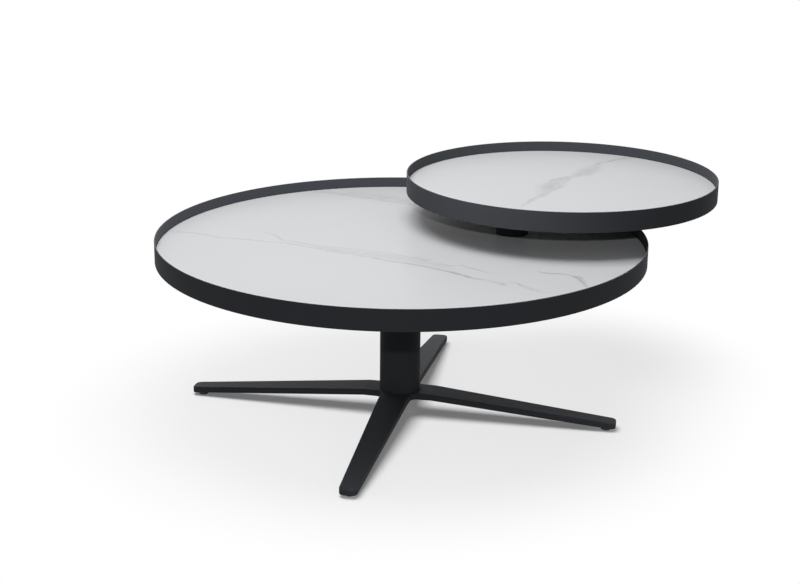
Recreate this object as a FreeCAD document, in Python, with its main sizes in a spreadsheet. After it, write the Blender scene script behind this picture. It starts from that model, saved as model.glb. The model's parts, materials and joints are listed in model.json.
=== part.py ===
# Swivel coffee table: a large round tray top on a column with four legs, and a small
# round tray top that swings over it on an offset post.
# Millimetres, +Z up. The origin is on the floor under the column's axis, and +X points
# from the column to the post.

import FreeCAD
import Part
import Sketcher
import math
import os

doc = FreeCAD.newDocument("SwivelCoffeeTable")

# Driving sizes: name, value in millimetres or degrees, meaning

SIZES = [
    ("large_top_diameter", 900, "outside of the large top's rim"),
    ("small_top_diameter", 600, "outside of the small top's rim"),
    ("large_top_height", 349, "floor to the upper edge of the large rim"),
    ("top_clearance", 34, "upper edge of the large rim to the lower edge of the small rim"),
    ("rim_height", 38, "height of both rolled rims"),
    ("rim_wall", 2, "sheet thickness of both rims"),
    ("rim_edge_radius", 0.6, "rounding of the rims' edges"),
    ("base_plate_thickness", 2, "steel sheet that closes each tray below"),
    ("board_thickness", 9, "core board on the base plate"),
    ("pad_thickness", 1, "silicone pads between board and stone"),
    ("pad_diameter", 40, "one silicone pad"),
    ("pad_rim_distance", 60, "tray edge to the centres of the outer pads"),
    ("pad_inner_circle", 200, "diameter through the centres of the inner pads"),
    ("stone_thickness", 6, "sintered stone disc"),
    ("stone_chamfer", 0.5, "broken upper edge of the stone"),
    ("tray_edge_gap", 1, "rim to board and rim to stone"),
    ("weld_gap", 0.3, "between round faces that are welded together"),
    ("post_reach", 227, "column axis to the post's axis"),
    ("post_inset", 158, "edge of the small top to the post's axis"),
    ("swing_angle", 22.7, "small top's arm from +X, as it is photographed"),
    ("post_diameter", 60, "outside of the post"),
    ("post_wall", 5, "wall of the post tube"),
    ("post_hole_gap", 1, "post to the holes in plate, board and stone"),
    ("bush_length", 20, "sleeve of both bushes"),
    ("bush_flange_thickness", 2, "flange of both bushes"),
    ("bush_flange_inset", 1, "post's outside to the flange's edge"),
    ("bush_seat_gap", 0.05, "bush sleeve to its seat"),
    ("spindle_diameter", 30, "shaft that the small top turns on"),
    ("running_gap", 0.05, "spindle to the bushes"),
    ("washer_bore_gap", 0.5, "spindle to the washers around it"),
    ("thrust_washer_thickness", 2, "slip ring that carries the small top"),
    ("wave_washer_thickness", 1.5, "sprung ring that gives the swivel its drag"),
    ("retaining_washer_diameter", 50, "washer that keeps the spindle in the post"),
    ("retaining_washer_thickness", 3, "same washer"),
    ("retaining_bolt_diameter", 12, "bolt in the spindle's lower end"),
    ("retaining_bolt_length", 25, "its shank inside the spindle"),
    ("retaining_bolt_flats", 19, "its hexagon across flats"),
    ("retaining_bolt_head", 7.5, "its head's height"),
    ("swivel_plate_diameter", 160, "plate under the small top"),
    ("swivel_plate_thickness", 6, "same plate"),
    ("swivel_screw_edge", 18, "plate's edge to its screws"),
    ("carrier_thickness", 8, "long plate under the large top"),
    ("carrier_end_radius", 90, "round ends about the column and the post"),
    ("carrier_screw_edge", 20, "plate's edge to its screws"),
    ("plate_screw_diameter", 6, "screws of the carrier and swivel plates"),
    ("plate_screw_head_diameter", 10.5, "their button heads"),
    ("plate_screw_head_height", 3.3, "same heads"),
    ("plate_screw_head_face", 7, "flat face around the socket"),
    ("plate_screw_socket", 4, "hexagon socket across flats"),
    ("plate_screw_socket_depth", 2, "same socket"),
    ("insert_wall", 1.5, "threaded inserts around those screws"),
    ("insert_cover", 1, "board left above an insert"),
    ("screw_hole_gap", 0.25, "screws and bolts to their through holes"),
    ("thread_gap", 0.05, "screws, bolts and inserts to the holes that hold them"),
    ("column_diameter", 76, "outside of the column"),
    ("column_wall", 3, "wall of the column tube"),
    ("foot_plate_thickness", 10, "plate inside the column's foot"),
    ("base_bolt_circle", 44, "diameter through the four base bolts"),
    ("base_bolt_diameter", 8, "bolts from the hub into the foot plate"),
    ("base_bolt_flats", 13, "their hexagon across flats"),
    ("base_bolt_head", 5.3, "their heads' height"),
    ("base_bolt_cover", 2, "foot plate left above a bolt"),
    ("base_washer_diameter", 16, "washers under the bolt heads"),
    ("base_washer_thickness", 1.6, "same washers"),
    ("leg_angle", 55.2, "first leg from +X"),
    ("leg_reach", 409.5, "column axis to the leg's tip"),
    ("leg_bend_reach", 65, "column axis to where the leg starts to slope"),
    ("leg_thickness", 11, "height of the leg bar"),
    ("leg_root_width", 59, "leg's width at the column axis"),
    ("leg_tip_width", 31.4, "leg's width at the tip"),
    ("leg_tip_corner", 10, "rounding of the tip's corners"),
    ("leg_root_corner", 12, "rounding between two legs"),
    ("leg_edge_radius", 2, "rounding of the legs' upper edges"),
    ("hub_clearance", 36.5, "floor to the hub's underside"),
    ("tip_clearance", 5.8, "floor to the tip's underside"),
    ("glide_inset", 18, "leg's tip to the glide's axis"),
    ("glide_diameter", 19, "floor glide"),
    ("glide_chamfer", 1.5, "its lower edge"),
    ("glide_screw_diameter", 5, "screw through the glide"),
    ("glide_screw_head_diameter", 9, "its head"),
    ("glide_screw_head_height", 2.6, "same head"),
    ("glide_screw_recess", 1.2, "floor to the head"),
    ("glide_screw_cover", 4, "leg left above the screw"),
]

sizes = doc.addObject("Spreadsheet::Sheet", "Sizes")
for row, (alias, number, meaning) in enumerate(SIZES, start=1):
    sizes.set(f"A{row}", alias)
    sizes.set(f"B{row}", str(number))
    sizes.setAlias(f"B{row}", alias)
    sizes.set(f"C{row}", meaning)
doc.recompute()

LEG_COUNT = 4
OUTER_PADS = 8
INNER_PADS = 4
SWIVEL_SCREWS = 6
HEXAGON_FLATS_TO_CORNERS = 2 / 3**0.5
# how far a cutting outline reaches past the material that it cuts
CUT_OVERRUN = 5
# an edge whose middle is this near to the bend's reach lies across the leg
BEND_BAND = 1
LENGTH_TOLERANCE = 1e-6

# Levels and radii that follow from the driving sizes, as expressions on the sheet

hub_top = "(Sizes.hub_clearance + Sizes.leg_thickness)"
leg_slope = "((Sizes.hub_clearance - Sizes.tip_clearance) / (Sizes.leg_reach - Sizes.leg_bend_reach))"
glide_reach = "(Sizes.leg_reach - Sizes.glide_inset)"
glide_seat = f"(Sizes.tip_clearance + {leg_slope} * Sizes.glide_inset)"
glide_screw_seat = "(Sizes.glide_screw_recess + Sizes.glide_screw_head_height)"
glide_screw_tip = f"({glide_seat} + Sizes.leg_thickness - Sizes.glide_screw_cover)"

large_bottom = "(Sizes.large_top_height - Sizes.rim_height)"
carrier_bottom = f"({large_bottom} - Sizes.carrier_thickness)"
small_bottom = "(Sizes.large_top_height + Sizes.top_clearance)"
swivel_plate_bottom = f"({small_bottom} - Sizes.swivel_plate_thickness)"
thrust_washer_bottom = f"({swivel_plate_bottom} - Sizes.thrust_washer_thickness)"
post_top = f"({thrust_washer_bottom} - Sizes.bush_flange_thickness)"
lower_bush_bottom = f"({carrier_bottom} - Sizes.bush_flange_thickness)"
spindle_bottom = f"({lower_bush_bottom} - Sizes.wave_washer_thickness)"
retaining_washer_bottom = f"({spindle_bottom} - Sizes.retaining_washer_thickness)"

swivel_offset = "Sizes.post_reach"
small_top_arm = "(Sizes.small_top_diameter / 2 - Sizes.post_inset)"
post_bore = "(Sizes.post_diameter - 2 * Sizes.post_wall)"
post_hole = "(Sizes.post_diameter + 2 * Sizes.post_hole_gap)"
bush_flange = "(Sizes.post_diameter - 2 * Sizes.bush_flange_inset)"
bush_bore = "(Sizes.spindle_diameter + 2 * Sizes.running_gap)"
washer_bore = "(Sizes.spindle_diameter + 2 * Sizes.washer_bore_gap)"

plate_screw_hole = "(Sizes.plate_screw_diameter + 2 * Sizes.screw_hole_gap)"
insert_bore = "(Sizes.plate_screw_diameter + 2 * Sizes.thread_gap)"
insert_diameter = "(Sizes.plate_screw_diameter + 2 * Sizes.insert_wall)"
insert_hole = f"({insert_diameter} + 2 * Sizes.thread_gap)"
insert_length = "(Sizes.board_thickness - Sizes.insert_cover)"
swivel_screw_radius = "(Sizes.swivel_plate_diameter / 2 - Sizes.swivel_screw_edge)"
carrier_screw_row = "(Sizes.carrier_end_radius - Sizes.carrier_screw_edge)"
column_bore = "(Sizes.column_diameter - 2 * Sizes.column_wall)"
base_bolt_hole = "(Sizes.base_bolt_diameter + 2 * Sizes.screw_hole_gap)"
base_bolt_thread = "(Sizes.base_bolt_diameter + 2 * Sizes.thread_gap)"

carrier_screw_places = [
    (f"-{carrier_screw_row}", "0"),
    ("0", carrier_screw_row),
    ("0", f"-{carrier_screw_row}"),
    (f"{swivel_offset} / 2", carrier_screw_row),
    (f"{swivel_offset} / 2", f"-{carrier_screw_row}"),
    (swivel_offset, carrier_screw_row),
    (swivel_offset, f"-{carrier_screw_row}"),
    (f"{swivel_offset} + {carrier_screw_row}", "0"),
]


def circle_places(radius, count, first=0):
    """Places evenly round a circle about the local origin, as pairs of expressions."""
    turns = [first + 360 / count * step for step in range(count)]
    return [(f"{radius} * cos({turn})", f"{radius} * sin({turn})") for turn in turns]


swivel_screw_places = circle_places(swivel_screw_radius, SWIVEL_SCREWS)
base_bolt_places = circle_places("Sizes.base_bolt_circle / 2", LEG_COUNT)


# Helpers for sketches, bodies and groups

def value(expression):
    """Number that an expression on the sheet gives."""
    return float(sizes.evalExpression(expression))


def place(piece, x="0", y="0", z="0", turn="0"):
    """Ties a piece's place and its turn about the vertical to the sheet."""
    piece.Placement = FreeCAD.Placement(
        FreeCAD.Vector(value(x), value(y), value(z)),
        FreeCAD.Rotation(FreeCAD.Vector(0, 0, 1), value(turn)),
    )
    for letter, expression in zip("xyz", (x, y, z)):
        if expression != "0":
            piece.setExpression(f"Placement.Base.{letter}", expression)
    if turn != "0":
        piece.setExpression("Placement.Rotation.Angle", turn)
    return piece


def new_body(label):
    body = doc.addObject("PartDesign::Body", label)
    body.Label = label
    return body


def origin_feature(body, role):
    return next(item for item in body.Origin.OriginFeatures if item.Role == role)


def new_sketch(body, name, role="XY_Plane"):
    sketch = body.newObject("Sketcher::SketchObject", name)
    sketch.AttachmentSupport = [(origin_feature(body, role), "")]
    sketch.MapMode = "FlatFace"
    return sketch


def tie_point(sketch, geometry, point, x, y):
    """Ties a sketch point to two expressions; a zero puts it on the sketch's axis."""
    for kind, axis, expression in (("DistanceX", -2, x), ("DistanceY", -1, y)):
        if expression == "0":
            sketch.addConstraint(Sketcher.Constraint("PointOnObject", geometry, point, axis))
            continue
        rule = Sketcher.Constraint(kind, -1, 1, geometry, point, value(expression))
        index = sketch.addConstraint(rule)
        sketch.setExpression(f"Constraints[{index}]", expression)


def draw_circle(sketch, diameter, x="0", y="0"):
    centre = FreeCAD.Vector(value(x), value(y), 0)
    up = FreeCAD.Vector(0, 0, 1)
    circle = sketch.addGeometry(Part.Circle(centre, up, value(diameter) / 2))
    if x == "0" and y == "0":
        sketch.addConstraint(Sketcher.Constraint("Coincident", circle, 3, -1, 1))
    else:
        tie_point(sketch, circle, 3, x, y)
    index = sketch.addConstraint(Sketcher.Constraint("Diameter", circle, value(diameter)))
    sketch.setExpression(f"Constraints[{index}]", diameter)


def draw_polygon(sketch, points):
    """Closed outline of straight lines through pairs of expressions."""
    corners = [FreeCAD.Vector(value(x), value(y), 0) for x, y in points]
    count = len(corners)
    first = sketch.GeometryCount
    for step in range(count):
        sketch.addGeometry(Part.LineSegment(corners[step], corners[(step + 1) % count]))
    for step in range(count):
        ends = (first + step, 2, first + (step + 1) % count, 1)
        sketch.addConstraint(Sketcher.Constraint("Coincident", *ends))
    for step, (x, y) in enumerate(points):
        tie_point(sketch, first + step, 1, x, y)


def add_pad(body, sketch, length, symmetric=False):
    pad = body.newObject("PartDesign::Pad", sketch.Name + "_pad")
    pad.Profile = sketch
    pad.setExpression("Length", length)
    if symmetric:
        pad.SideType = "Symmetric"
    doc.recompute()
    return pad


def add_pocket(body, sketch, length=None, upwards=False, symmetric=False):
    """Cut along the sketch's normal; without a length it goes right through."""
    before = body.Shape.Volume
    pocket = body.newObject("PartDesign::Pocket", sketch.Name + "_pocket")
    pocket.Profile = sketch
    pocket.Reversed = upwards
    if symmetric:
        pocket.SideType = "Symmetric"
    if length is None:
        pocket.Type = "ThroughAll"
    else:
        pocket.setExpression("Length", length)
    doc.recompute()
    if body.Shape.Volume >= before:
        raise RuntimeError(f"{pocket.Name} cuts nothing")
    return pocket


def add_holes(body, name, diameter, places, depth=None):
    """Round holes upwards from the body's lower face, right through without a depth."""
    sketch = new_sketch(body, name)
    for x, y in places:
        draw_circle(sketch, diameter, x, y)
    return add_pocket(body, sketch, depth, upwards=True)


def edge_names(shape, wanted):
    return [f"Edge{number}" for number, edge in enumerate(shape.Edges, start=1) if wanted(edge)]


def add_edge_feature(body, kind, size_property, size, wanted):
    """Fillet or chamfer on the edges of the body's tip that a test picks."""
    base = body.Tip
    names = edge_names(base.Shape, wanted)
    if not names:
        raise RuntimeError(f"{body.Label} has no edge for its {kind}")
    feature = body.newObject(f"PartDesign::{kind}", f"{body.Label}_{kind}")
    feature.Base = (base, names)
    feature.setExpression(size_property, size)
    doc.recompute()
    return feature


def new_ring(label, outer, height, inner=None, x="0"):
    """Round plate, ring or tube, padded up from the local ground plane."""
    body = new_body(label)
    sketch = new_sketch(body, label + "_circles")
    draw_circle(sketch, outer, x)
    if inner:
        draw_circle(sketch, inner, x)
    add_pad(body, sketch, height)
    return body


def add_primitive(kind, name, z, **expressions):
    piece = doc.addObject(f"Part::{kind}", name)
    for size, expression in expressions.items():
        piece.setExpression(size, expression)
    if z != "0":
        piece.setExpression("Placement.Base.z", z)
    return piece


def add_cylinder(name, diameter, height, z):
    return add_primitive("Cylinder", name, z, Radius=f"{diameter} / 2", Height=height)


def add_hexagon(name, flats, height, z):
    corner_radius = f"{flats} / 2 * {HEXAGON_FLATS_TO_CORNERS}"
    prism = add_primitive("Prism", name, z, Circumradius=corner_radius, Height=height)
    prism.Polygon = 6
    return prism


def add_fuse(name, base, tool):
    fuse = doc.addObject("Part::Fuse", name)
    fuse.Base = base
    fuse.Tool = tool
    return fuse


def add_cut(name, base, tool):
    cut = doc.addObject("Part::Cut", name)
    cut.Base = base
    cut.Tool = tool
    return cut


def new_group(label, places, make_one):
    """Identical small pieces at several places, each a solid of its own in one node."""
    members = []
    for number, (x, y) in enumerate(places, start=1):
        member = make_one(f"{label}_{number}")
        for letter, expression in zip("xy", (x, y)):
            if expression != "0":
                member.setExpression(f"Placement.Base.{letter}", expression)
        members.append(member)
    group = doc.addObject("Part::Compound", label)
    group.Label = label
    group.Links = members
    doc.recompute()
    return group


# Star base: four tapered bars that lie flat at the hub and slope down to their tips

def make_star_base():
    body = new_body("star_base")
    plan = new_sketch(body, "leg_plan")
    draw_polygon(plan, [
        ("0", "-Sizes.leg_root_width / 2"),
        ("Sizes.leg_reach", "-Sizes.leg_tip_width / 2"),
        ("Sizes.leg_reach", "Sizes.leg_tip_width / 2"),
        ("0", "Sizes.leg_root_width / 2"),
    ])
    bar = add_pad(body, plan, hub_top)

    side = new_sketch(body, "leg_side", "XZ_Plane")
    past_tip = f"Sizes.leg_reach + {CUT_OVERRUN}"
    drop_past_bend = f"{leg_slope} * ({past_tip} - Sizes.leg_bend_reach)"
    draw_polygon(side, [
        ("Sizes.leg_bend_reach", hub_top),
        (past_tip, f"{hub_top} - {drop_past_bend}"),
        (past_tip, hub_top),
    ])
    draw_polygon(side, [
        ("0", f"-{CUT_OVERRUN}"),
        (past_tip, f"-{CUT_OVERRUN}"),
        (past_tip, f"Sizes.hub_clearance - {drop_past_bend}"),
        ("Sizes.leg_bend_reach", "Sizes.hub_clearance"),
        ("0", "Sizes.hub_clearance"),
    ])
    slopes = add_pocket(body, side, f"Sizes.leg_root_width + {CUT_OVERRUN}", symmetric=True)

    glide_hole = new_sketch(body, "glide_screw_hole")
    draw_circle(glide_hole, "Sizes.glide_screw_diameter + 2 * Sizes.thread_gap", glide_reach)
    hole = add_pocket(body, glide_hole, f"{glide_screw_tip} + Sizes.thread_gap", upwards=True)

    legs = body.newObject("PartDesign::PolarPattern", "four_legs")
    legs.Originals = [bar, slopes, hole]
    legs.Axis = (origin_feature(body, "Z_Axis"), [""])
    legs.Angle = 360
    legs.Occurrences = LEG_COUNT
    body.Tip = legs
    doc.recompute()

    def upright(edge):
        if not isinstance(edge.Curve, Part.Line):
            return False
        ends = [vertex.Point for vertex in edge.Vertexes]
        return (ends[0] - ends[1]).cross(FreeCAD.Vector(0, 0, 1)).Length < LENGTH_TOLERANCE

    def axis_distance(edge):
        middle = edge.BoundBox.Center
        return (middle.x**2 + middle.y**2) ** 0.5

    def tip_corner(edge):
        return upright(edge) and axis_distance(edge) > value("Sizes.leg_reach")

    def root_corner(edge):
        return upright(edge) and axis_distance(edge) < value("Sizes.leg_root_width")

    def upper_outline(edge):
        """Edge around a leg's upper side, but neither a screw hole nor the bend across it."""
        middle = edge.valueAt((edge.FirstParameter + edge.LastParameter) / 2)
        reach = (middle.x**2 + middle.y**2) ** 0.5
        past_bend = reach - value("Sizes.leg_bend_reach")
        half_way_down = (
            value(hub_top)
            - value(leg_slope) * max(0, past_bend)
            - value("Sizes.leg_thickness") / 2
        )
        if edge.isClosed() or upright(edge) or middle.z < half_way_down:
            return False
        return abs(past_bend) > BEND_BAND

    add_edge_feature(body, "Fillet", "Radius", "Sizes.leg_tip_corner", tip_corner)
    add_edge_feature(body, "Fillet", "Radius", "Sizes.leg_root_corner", root_corner)
    add_edge_feature(body, "Fillet", "Radius", "Sizes.leg_edge_radius", upper_outline)
    add_holes(body, "base_bolt_holes", base_bolt_hole, base_bolt_places, hub_top)
    return place(body, turn="Sizes.leg_angle")


# Floor glides: round nylon feet, cut to the slope of the leg's underside

def make_glide(label, quarter):
    body = new_body(label)
    radius = "Sizes.glide_diameter / 2"
    head_bore = "(Sizes.glide_screw_head_diameter / 2 + Sizes.screw_hole_gap)"
    shank_bore = "(Sizes.glide_screw_diameter / 2 + Sizes.screw_hole_gap)"
    blank_top = f"{glide_seat} + {leg_slope} * Sizes.glide_diameter"
    profile = new_sketch(body, label + "_profile", "XZ_Plane")
    draw_polygon(profile, [
        (head_bore, "0"),
        (f"{radius} - Sizes.glide_chamfer", "0"),
        (radius, "Sizes.glide_chamfer"),
        (radius, blank_top),
        (shank_bore, blank_top),
        (shank_bore, glide_screw_seat),
        (head_bore, glide_screw_seat),
    ])
    turned = body.newObject("PartDesign::Revolution", label + "_turned")
    turned.Profile = profile
    turned.ReferenceAxis = (profile, ["V_Axis"])
    turned.Angle = 360
    doc.recompute()
    slope_cut = new_sketch(body, label + "_slope", "XZ_Plane")
    past_edge = "Sizes.glide_diameter"
    draw_polygon(slope_cut, [
        (f"-{past_edge}", f"{glide_seat} + {leg_slope} * {past_edge}"),
        (past_edge, f"{glide_seat} - {leg_slope} * {past_edge}"),
        (past_edge, f"{blank_top} + {CUT_OVERRUN}"),
        (f"-{past_edge}", f"{blank_top} + {CUT_OVERRUN}"),
    ])
    add_pocket(body, slope_cut, "2 * Sizes.glide_diameter", symmetric=True)
    turn = f"Sizes.leg_angle + {quarter}"
    return place(body, f"{glide_reach} * cos({turn})", f"{glide_reach} * sin({turn})", "0", turn)


def make_glide_screw(name):
    head = add_cylinder(
        name + "_head",
        "Sizes.glide_screw_head_diameter",
        "Sizes.glide_screw_head_height",
        "Sizes.glide_screw_recess",
    )
    shank_length = f"{glide_screw_tip} - {glide_screw_seat}"
    shank = add_cylinder(name + "_shank", "Sizes.glide_screw_diameter", shank_length, glide_screw_seat)
    return add_fuse(name, head, shank)


# Column: a tube with a threaded plate inside its foot, bolted to the hub from below

def make_column():
    length = f"{carrier_bottom} - {hub_top}"
    tube = new_ring("column_tube", "Sizes.column_diameter", length, column_bore)
    place(tube, z=hub_top)
    plate_diameter = f"{column_bore} - 2 * Sizes.weld_gap"
    plate = new_ring("column_foot_plate", plate_diameter, "Sizes.foot_plate_thickness")
    add_holes(plate, "foot_plate_threads", base_bolt_thread, base_bolt_places)
    place(plate, z=hub_top, turn="Sizes.leg_angle")
    return [tube, plate]


def make_base_bolt(name):
    head_bottom = "Sizes.hub_clearance - Sizes.base_washer_thickness - Sizes.base_bolt_head"
    shank_bottom = "Sizes.hub_clearance - Sizes.base_washer_thickness"
    shank_length = (
        "Sizes.base_washer_thickness + Sizes.leg_thickness"
        " + Sizes.foot_plate_thickness - Sizes.base_bolt_cover"
    )
    head = add_hexagon(name + "_head", "Sizes.base_bolt_flats", "Sizes.base_bolt_head", head_bottom)
    shank = add_cylinder(name + "_shank", "Sizes.base_bolt_diameter", shank_length, shank_bottom)
    return add_fuse(name, head, shank)


def make_base_washer(name):
    bottom = "Sizes.hub_clearance - Sizes.base_washer_thickness"
    disc = add_cylinder(name + "_disc", "Sizes.base_washer_diameter", "Sizes.base_washer_thickness", bottom)
    bore = add_cylinder(name + "_bore", base_bolt_hole, "Sizes.base_washer_thickness", bottom)
    return add_cut(name, disc, bore)


# Plate screws: button heads with a hexagon socket, pointing up through a plate

def make_plate_screw(name, seat, plate_thickness):
    head_bottom = f"{seat} - Sizes.plate_screw_head_height"
    head = add_primitive(
        "Cone",
        name + "_head",
        head_bottom,
        Radius1="Sizes.plate_screw_head_face / 2",
        Radius2="Sizes.plate_screw_head_diameter / 2",
        Height="Sizes.plate_screw_head_height",
    )
    length = f"{plate_thickness} + Sizes.base_plate_thickness + {insert_length}"
    shank = add_cylinder(name + "_shank", "Sizes.plate_screw_diameter", length, seat)
    socket = add_hexagon(
        name + "_socket",
        "Sizes.plate_screw_socket",
        "Sizes.plate_screw_socket_depth",
        head_bottom,
    )
    return add_cut(name, add_fuse(name + "_blank", head, shank), socket)


def make_insert(name):
    bottom = "Sizes.base_plate_thickness"
    sleeve = add_cylinder(name + "_sleeve", insert_diameter, insert_length, bottom)
    bore = add_cylinder(name + "_bore", insert_bore, insert_length, bottom)
    return add_cut(name, sleeve, bore)


# Carrier plate: long steel plate that joins column, tray and post

def make_carrier_plate():
    body = new_body("carrier_plate")
    outline = new_sketch(body, "carrier_outline")
    radius = value("Sizes.carrier_end_radius")
    far = value(swivel_offset)
    up = FreeCAD.Vector(0, 0, 1)
    corners = [
        FreeCAD.Vector(0, -radius, 0),
        FreeCAD.Vector(far, -radius, 0),
        FreeCAD.Vector(far, radius, 0),
        FreeCAD.Vector(0, radius, 0),
    ]
    near_side = outline.addGeometry(Part.LineSegment(corners[0], corners[1]))
    post_circle = Part.Circle(FreeCAD.Vector(far, 0, 0), up, radius)
    quarter = math.pi / 2
    post_end = outline.addGeometry(Part.ArcOfCircle(post_circle, -quarter, quarter))
    far_side = outline.addGeometry(Part.LineSegment(corners[2], corners[3]))
    column_circle = Part.Circle(FreeCAD.Vector(0, 0, 0), up, radius)
    column_end = outline.addGeometry(Part.ArcOfCircle(column_circle, quarter, 3 * quarter))
    outline.addConstraint(Sketcher.Constraint("Coincident", column_end, 3, -1, 1))
    outline.addConstraint(Sketcher.Constraint("Horizontal", near_side))
    outline.addConstraint(Sketcher.Constraint("Horizontal", far_side))
    outline.addConstraint(Sketcher.Constraint("Tangent", near_side, 2, post_end, 1))
    outline.addConstraint(Sketcher.Constraint("Tangent", post_end, 2, far_side, 1))
    outline.addConstraint(Sketcher.Constraint("Tangent", far_side, 2, column_end, 1))
    outline.addConstraint(Sketcher.Constraint("Tangent", column_end, 2, near_side, 1))
    index = outline.addConstraint(Sketcher.Constraint("Radius", column_end, radius))
    outline.setExpression(f"Constraints[{index}]", "Sizes.carrier_end_radius")
    index = outline.addConstraint(Sketcher.Constraint("DistanceX", -1, 1, post_end, 3, far))
    outline.setExpression(f"Constraints[{index}]", swivel_offset)
    add_pad(body, outline, "Sizes.carrier_thickness")
    add_holes(body, "carrier_bush_hole", post_bore, [(swivel_offset, "0")])
    add_holes(body, "carrier_screw_holes", plate_screw_hole, carrier_screw_places)
    return place(body, z=carrier_bottom)


# Tray tops: rolled rim, base plate, core board with inserts, silicone pads and stone

def make_tray(prefix, diameter, centre_x, screw_places, with_post_hole):
    """Pieces of one tray, on the local ground plane and centred at centre_x."""
    rim_bore = f"({diameter} - 2 * Sizes.rim_wall)"
    lining = f"({rim_bore} - 2 * Sizes.tray_edge_gap)"
    board_level = "Sizes.base_plate_thickness"
    pad_level = f"{board_level} + Sizes.board_thickness"
    stone_level = f"{pad_level} + Sizes.pad_thickness"
    post_place = [(swivel_offset, "0")]

    rim = new_ring(prefix + "_rim", diameter, "Sizes.rim_height", rim_bore, centre_x)
    add_edge_feature(
        rim, "Fillet", "Radius", "Sizes.rim_edge_radius",
        lambda edge: isinstance(edge.Curve, Part.Circle),
    )

    plate_diameter = f"{rim_bore} - 2 * Sizes.weld_gap"
    plate = new_ring(prefix + "_base_plate", plate_diameter, "Sizes.base_plate_thickness", None, centre_x)
    add_holes(plate, prefix + "_plate_screw_holes", plate_screw_hole, screw_places)

    board = new_ring(prefix + "_board", lining, "Sizes.board_thickness", None, centre_x)
    add_holes(board, prefix + "_insert_holes", insert_hole, screw_places, insert_length)

    stone = new_ring(prefix + "_stone", lining, "Sizes.stone_thickness", None, centre_x)
    if with_post_hole:
        for layer in (plate, board, stone):
            add_holes(layer, layer.Label + "_post_hole", post_hole, post_place)
    add_edge_feature(
        stone, "Chamfer", "Size", "Sizes.stone_chamfer",
        lambda edge: edge.BoundBox.ZMin > value("Sizes.stone_thickness") / 2
        and edge.BoundBox.ZLength < value("Sizes.stone_chamfer"),
    )

    inserts = new_group(prefix + "_board_inserts", screw_places, make_insert)

    outer_places = circle_places(f"({diameter} / 2 - Sizes.pad_rim_distance)", OUTER_PADS)
    half_step = 180 / INNER_PADS
    inner_places = circle_places("Sizes.pad_inner_circle / 2", INNER_PADS, half_step)
    pad_places = [(f"{centre_x} + {x}", y) for x, y in outer_places + inner_places]
    pads = new_group(
        prefix + "_stone_pads",
        pad_places,
        lambda name: add_cylinder(name, "Sizes.pad_diameter", "Sizes.pad_thickness", pad_level),
    )
    return [
        (rim, "0"),
        (plate, "0"),
        (board, board_level),
        (inserts, "0"),
        (pads, "0"),
        (stone, stone_level),
    ]


# Post and swivel: tube with two bushes, and the spindle that turns in them

def make_bush(label, flange_below):
    body = new_body(label)
    bore = f"{bush_bore} / 2"
    sleeve = f"({post_bore} / 2 - Sizes.bush_seat_gap)"
    flange = f"{bush_flange} / 2"
    inwards, outwards = ("", "-") if flange_below else ("-", "")
    profile = new_sketch(body, label + "_profile", "XZ_Plane")
    draw_polygon(profile, [
        (bore, f"{outwards}Sizes.bush_flange_thickness"),
        (flange, f"{outwards}Sizes.bush_flange_thickness"),
        (flange, "0"),
        (sleeve, "0"),
        (sleeve, f"{inwards}Sizes.bush_length"),
        (bore, f"{inwards}Sizes.bush_length"),
    ])
    turned = body.newObject("PartDesign::Revolution", label + "_turned")
    turned.Profile = profile
    turned.ReferenceAxis = (profile, ["V_Axis"])
    turned.Angle = 360
    doc.recompute()
    return place(body, swivel_offset, "0", carrier_bottom if flange_below else post_top)


def make_post():
    tube = new_ring("post_tube", "Sizes.post_diameter", f"{post_top} - {large_bottom}", post_bore)
    place(tube, swivel_offset, "0", large_bottom)
    washer = new_ring("thrust_washer", bush_flange, "Sizes.thrust_washer_thickness", washer_bore)
    place(washer, swivel_offset, "0", thrust_washer_bottom)
    return [tube, make_bush("lower_bush", True), make_bush("upper_bush", False), washer]


def make_swivel():
    bolt_hole = "Sizes.retaining_bolt_diameter + 2 * Sizes.thread_gap"
    washer_hole = "Sizes.retaining_bolt_diameter + 2 * Sizes.screw_hole_gap"

    spindle_length = f"{swivel_plate_bottom} - {spindle_bottom}"
    spindle = new_ring("spindle", "Sizes.spindle_diameter", spindle_length)
    hole_depth = "Sizes.retaining_bolt_length + Sizes.thread_gap"
    add_holes(spindle, "spindle_thread", bolt_hole, [("0", "0")], hole_depth)
    place(spindle, swivel_offset, "0", spindle_bottom)

    wave = new_ring("wave_washer", bush_flange, "Sizes.wave_washer_thickness", washer_bore)
    place(wave, swivel_offset, "0", spindle_bottom)

    washer = new_ring(
        "retaining_washer",
        "Sizes.retaining_washer_diameter",
        "Sizes.retaining_washer_thickness",
        washer_hole,
    )
    place(washer, swivel_offset, "0", retaining_washer_bottom)

    head_bottom = f"{retaining_washer_bottom} - Sizes.retaining_bolt_head"
    shank_length = "Sizes.retaining_washer_thickness + Sizes.retaining_bolt_length"
    head = add_hexagon(
        "retaining_bolt_hexagon",
        "Sizes.retaining_bolt_flats",
        "Sizes.retaining_bolt_head",
        "0",
    )
    shank = add_cylinder(
        "retaining_bolt_shank",
        "Sizes.retaining_bolt_diameter",
        shank_length,
        "Sizes.retaining_bolt_head",
    )
    bolt = add_fuse("retaining_bolt", head, shank)
    bolt.Label = "retaining_bolt"
    place(bolt, swivel_offset, "0", head_bottom)

    plate = new_ring("swivel_plate", "Sizes.swivel_plate_diameter", "Sizes.swivel_plate_thickness")
    add_holes(plate, "swivel_plate_holes", plate_screw_hole, swivel_screw_places)
    place(plate, swivel_offset, "0", swivel_plate_bottom, "Sizes.swing_angle")

    screws = new_group(
        "swivel_screws",
        swivel_screw_places,
        lambda name: make_plate_screw(name, "0", "Sizes.swivel_plate_thickness"),
    )
    place(screws, swivel_offset, "0", swivel_plate_bottom, "Sizes.swing_angle")
    return [spindle, wave, washer, bolt, plate, screws]


# Assembly

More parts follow.
